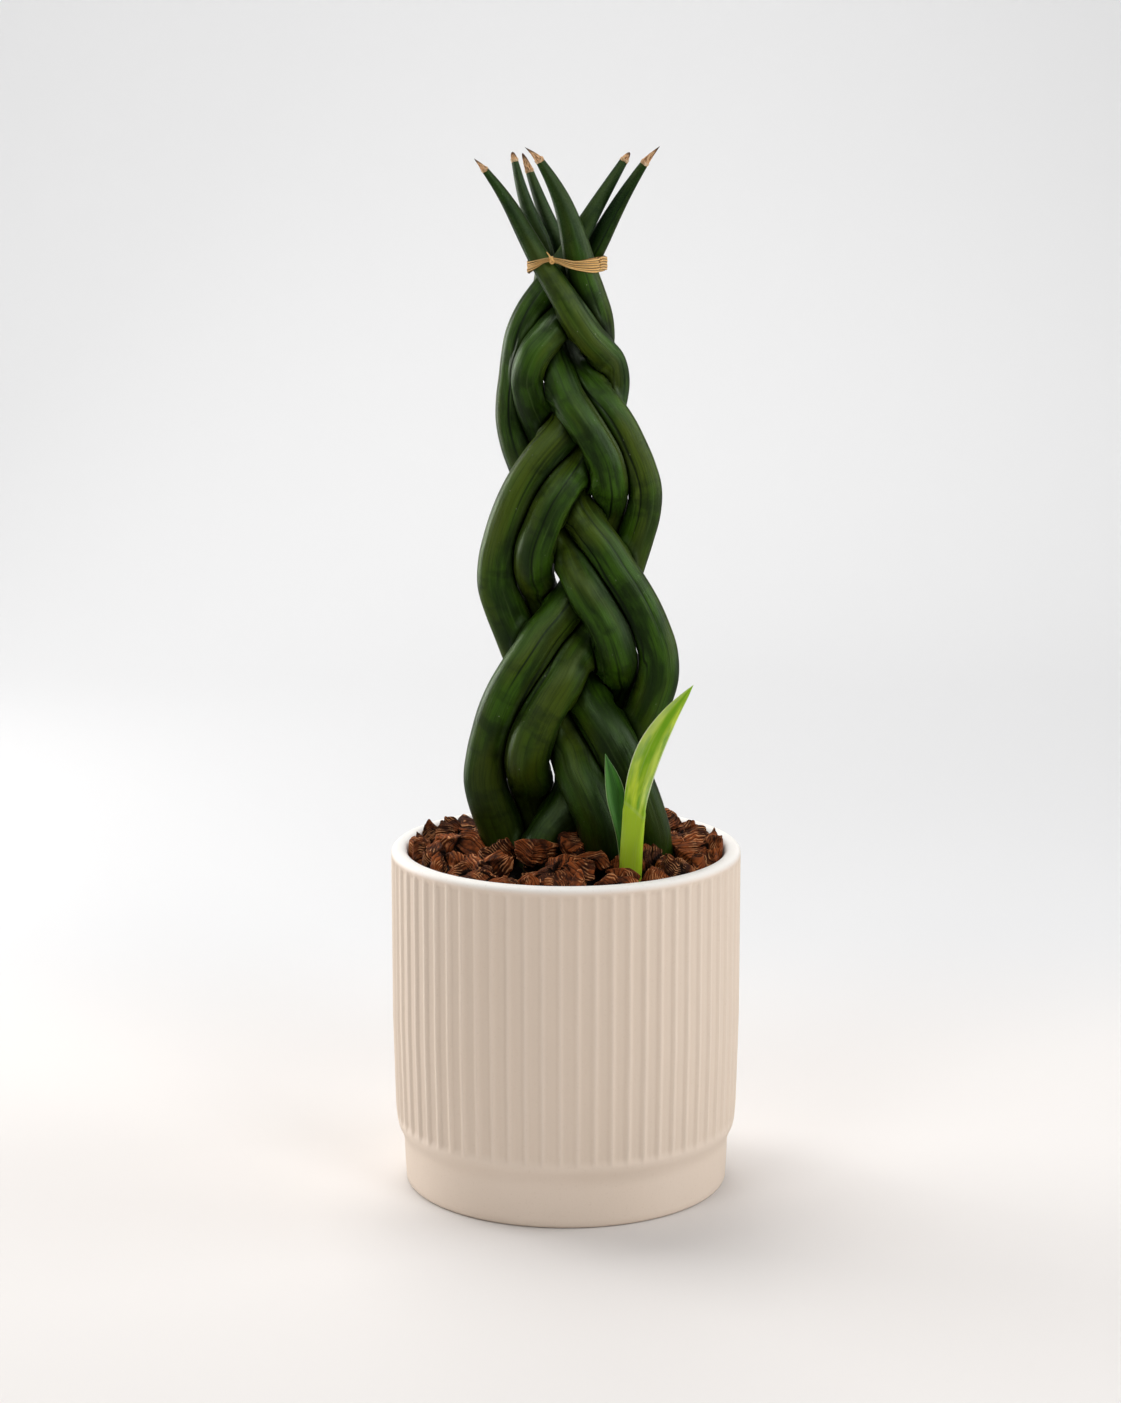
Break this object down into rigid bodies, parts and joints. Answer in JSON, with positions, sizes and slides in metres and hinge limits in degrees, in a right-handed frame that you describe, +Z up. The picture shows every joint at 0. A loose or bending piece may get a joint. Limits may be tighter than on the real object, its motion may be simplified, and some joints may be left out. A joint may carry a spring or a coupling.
{
  "type": "potted braided cylindrical snake plant",
  "caption": "Spear-leaved succulent plaited into a tall column and tied with raffia, with a young offset, in a fluted ceramic pot topped with bark chips.",
  "frame": {"origin": "centre of the pot's underside, in the plane that the foot ring stands on", "axes": "+Z up along the pot's axis, the plant's front (the raffia knot) faces -Y"},
  "size_m": [0.16, 0.16, 0.474],
  "materials": {
    "cream_glaze": "matte cream glaze",
    "potting_mix": "dark crumbly mix",
    "red_bark": "rough fibrous bark",
    "leaf_green": "waxy satin leaf skin",
    "raffia": "dry raffia fibre",
    "young_green": "smooth satin young leaf",
    "young_blue_green": "smooth satin young leaf"
  },
  "bodies": {
    "root": {"pot": "cream_glaze", "potting_mix": "potting_mix", "bark_chips": "red_bark", "leaf_front_left": "leaf_green", "leaf_front_centre": "leaf_green", "leaf_right_inner": "leaf_green", "leaf_right_outer": "leaf_green", "leaf_back_left": "leaf_green", "leaf_back_centre": "leaf_green", "raffia_tie": "raffia", "pup_leaf_tall": "young_green", "pup_leaf_short": "young_blue_green"}
  },
  "joints": []
}
